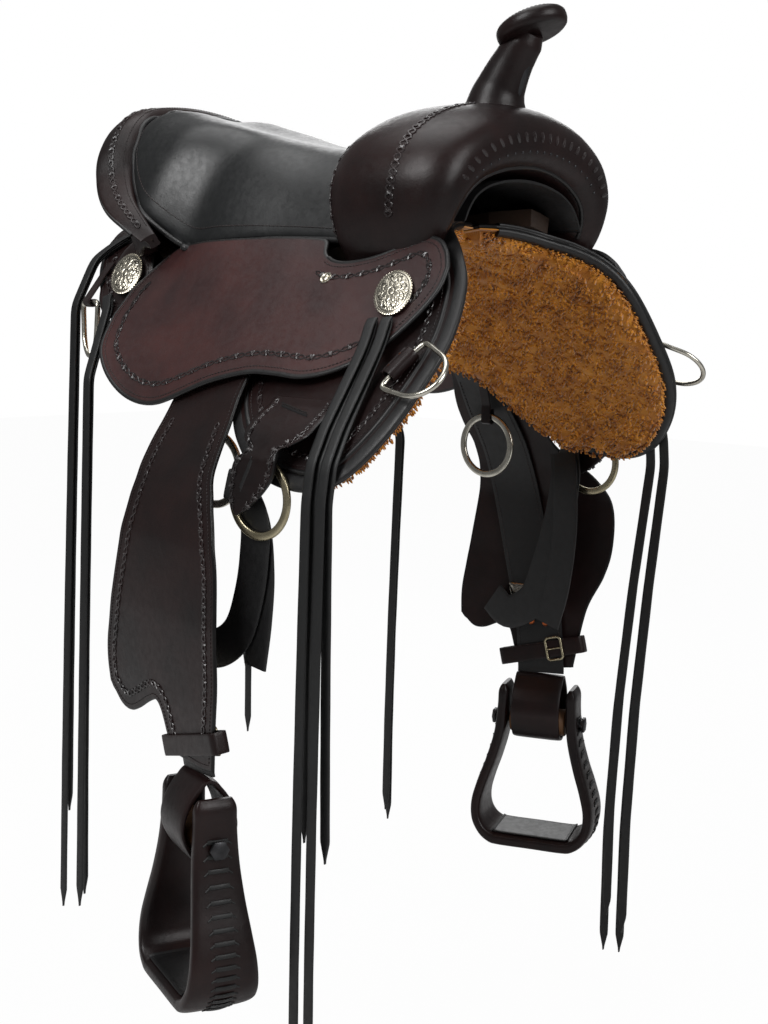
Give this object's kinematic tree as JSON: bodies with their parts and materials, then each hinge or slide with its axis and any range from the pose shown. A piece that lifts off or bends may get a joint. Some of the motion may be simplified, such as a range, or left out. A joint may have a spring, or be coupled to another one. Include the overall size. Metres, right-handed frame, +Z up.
{
  "type": "western trail saddle",
  "caption": "Western trail saddle with horn, padded seat, tooled leathers, fleece lining, rigging rings and dees, and hung fenders with bell stirrups that swing and rock.",
  "frame": {"origin": "on the middle plane below the seat, where the ridge of the saddle sits on the horse's back", "axes": "+Z up, -Y towards the horse's head, +X to the rider's left"},
  "size_m": [0.736, 0.6791, 1.1291],
  "materials": {
    "rawhide_tree": "rawhide over wood, semi-matte",
    "dark_leather": "tooled and oiled, satin",
    "jockey_leather": "smooth oiled, satin",
    "black_leather": "latigo and harness leather, satin",
    "black_seat_leather": "smooth padded, soft sheen",
    "sole_leather": "undyed, matte",
    "fleece": "woolly, matte",
    "nickel": "polished nickel plate",
    "forged_steel": "forged, plain"
  },
  "bodies": {
    "saddle": {"breast_strap_left": "dark_leather", "breast_strap_right": "dark_leather", "cantle_board": "rawhide_tree", "cantle_cover": "dark_leather", "concho_string_left": "black_leather", "concho_string_right": "black_leather", "fleece_left": "fleece", "fleece_right": "fleece", "fork": "rawhide_tree", "fork_cover": "dark_leather", "front_concho_left": "nickel", "front_concho_right": "nickel", "front_string_a_left": "black_leather", "front_string_a_right": "black_leather", "front_string_b_left": "black_leather", "front_string_b_right": "black_leather", "ground_seat": "sole_leather", "gullet_lining": "black_leather", "horn_cap": "dark_leather", "horn_neck": "dark_leather", "horn_post": "forged_steel", "housing_string_left": "black_leather", "housing_string_right": "black_leather", "latigo_keeper_left": "dark_leather", "latigo_keeper_right": "dark_leather", "rear_concho_left": "nickel", "rear_concho_right": "nickel", "rear_housing_left": "dark_leather", "rear_housing_right": "dark_leather", "rear_keeper_left": "dark_leather", "rear_keeper_right": "dark_leather", "rear_rig_strap_left": "dark_leather", "rear_rig_strap_right": "dark_leather", "seat_jockey_left": "jockey_leather", "seat_jockey_right": "jockey_leather", "seat_pad": "black_seat_leather", "skirt_left": "dark_leather", "skirt_right": "dark_leather", "tree_bar_left": "rawhide_tree", "tree_bar_right": "rawhide_tree"},
    "fender_left_hung": {"fender_left": "dark_leather", "stirrup_leather_left": "black_leather", "hobble_strap_left": "dark_leather"},
    "stirrup_left_hung": {"stirrup_left": "dark_leather", "stirrup_bolt_left": "nickel"},
    "front_ring_left_hung": {"front_rig_ring_left": "nickel"},
    "ring_strap_left_hung": {"latigo_left": "black_leather"},
    "rear_ring_left_hung": {"rear_rig_ring_left": "nickel"},
    "breast_dee_left_held": {"breast_dee_left": "nickel"},
    "rear_dee_left_held": {"rear_dee_left": "nickel"},
    "fender_right_hung": {"fender_right": "dark_leather", "stirrup_leather_right": "black_leather", "hobble_strap_right": "dark_leather"},
    "stirrup_right_hung": {"stirrup_right": "dark_leather", "stirrup_bolt_right": "nickel"},
    "front_ring_right_hung": {"front_rig_ring_right": "nickel"},
    "ring_strap_right_hung": {"off_billet_right": "black_leather"},
    "rear_ring_right_hung": {"rear_rig_ring_right": "nickel"},
    "breast_dee_right_held": {"breast_dee_right": "nickel"},
    "rear_dee_right_held": {"rear_dee_right": "nickel"}
  },
  "joints": [
    {"name": "fender_swing_left", "type": "hinge", "parent": "saddle", "child": "fender_left_hung", "pos_m": [0.09838, 0, 0.00102], "axis": [0.6262, 0, 0.7797], "range_deg": [-1.5, 6]},
    {"name": "stirrup_rock_left", "type": "hinge", "parent": "fender_left_hung", "child": "stirrup_left_hung", "pos_m": [0.304, -0.065, -0.578], "axis": [0.3746, -0.9272, 0], "range_deg": [-35, 35]},
    {"name": "front_ring_tilt_left", "type": "hinge", "parent": "saddle", "child": "front_ring_left_hung", "pos_m": [0.2945, -0.135, -0.19], "axis": [1, 0, 0], "range_deg": [-10, 10]},
    {"name": "ring_strap_swing_left", "type": "hinge", "parent": "front_ring_left_hung", "child": "ring_strap_left_hung", "pos_m": [0.2945, -0.135, -0.2275], "axis": [1, 0, 0], "range_deg": [-8, 8]},
    {"name": "rear_ring_tilt_left", "type": "hinge", "parent": "saddle", "child": "rear_ring_left_hung", "pos_m": [0.24, -0.012, -0.1755], "axis": [1, 0, 0], "range_deg": [-12, 12]},
    {"name": "breast_dee_fold_left", "type": "hinge", "parent": "saddle", "child": "breast_dee_left_held", "pos_m": [0.22895, -0.25729, -0.0921], "axis": [0.6077, 0.3695, -0.703], "range_deg": [-20, 14]},
    {"name": "rear_dee_fold_left", "type": "hinge", "parent": "saddle", "child": "rear_dee_left_held", "pos_m": [0.16457, 0.2932, -0.04013], "axis": [-0.361, 0.9326, 0], "range_deg": [-20, 20]},
    {"name": "fender_swing_right", "type": "hinge", "parent": "saddle", "child": "fender_right_hung", "pos_m": [-0.09838, 0, 0.00102], "axis": [-0.6262, 0, 0.7797], "range_deg": [-6, 1.5]},
    {"name": "stirrup_rock_right", "type": "hinge", "parent": "fender_right_hung", "child": "stirrup_right_hung", "pos_m": [-0.304, -0.065, -0.578], "axis": [-0.3746, -0.9272, 0], "range_deg": [-35, 35]},
    {"name": "front_ring_tilt_right", "type": "hinge", "parent": "saddle", "child": "front_ring_right_hung", "pos_m": [-0.2945, -0.135, -0.19], "axis": [1, 0, 0], "range_deg": [-10, 10]},
    {"name": "ring_strap_swing_right", "type": "hinge", "parent": "front_ring_right_hung", "child": "ring_strap_right_hung", "pos_m": [-0.2945, -0.135, -0.2275], "axis": [1, 0, 0], "range_deg": [-8, 8]},
    {"name": "rear_ring_tilt_right", "type": "hinge", "parent": "saddle", "child": "rear_ring_right_hung", "pos_m": [-0.24, -0.012, -0.1755], "axis": [1, 0, 0], "range_deg": [-12, 12]},
    {"name": "breast_dee_fold_right", "type": "hinge", "parent": "saddle", "child": "breast_dee_right_held", "pos_m": [-0.22895, -0.25729, -0.0921], "axis": [-0.6077, 0.3695, -0.703], "range_deg": [-14, 20]},
    {"name": "rear_dee_fold_right", "type": "hinge", "parent": "saddle", "child": "rear_dee_right_held", "pos_m": [-0.16457, 0.2932, -0.04013], "axis": [0.361, 0.9326, 0], "range_deg": [-20, 20]}
  ]
}
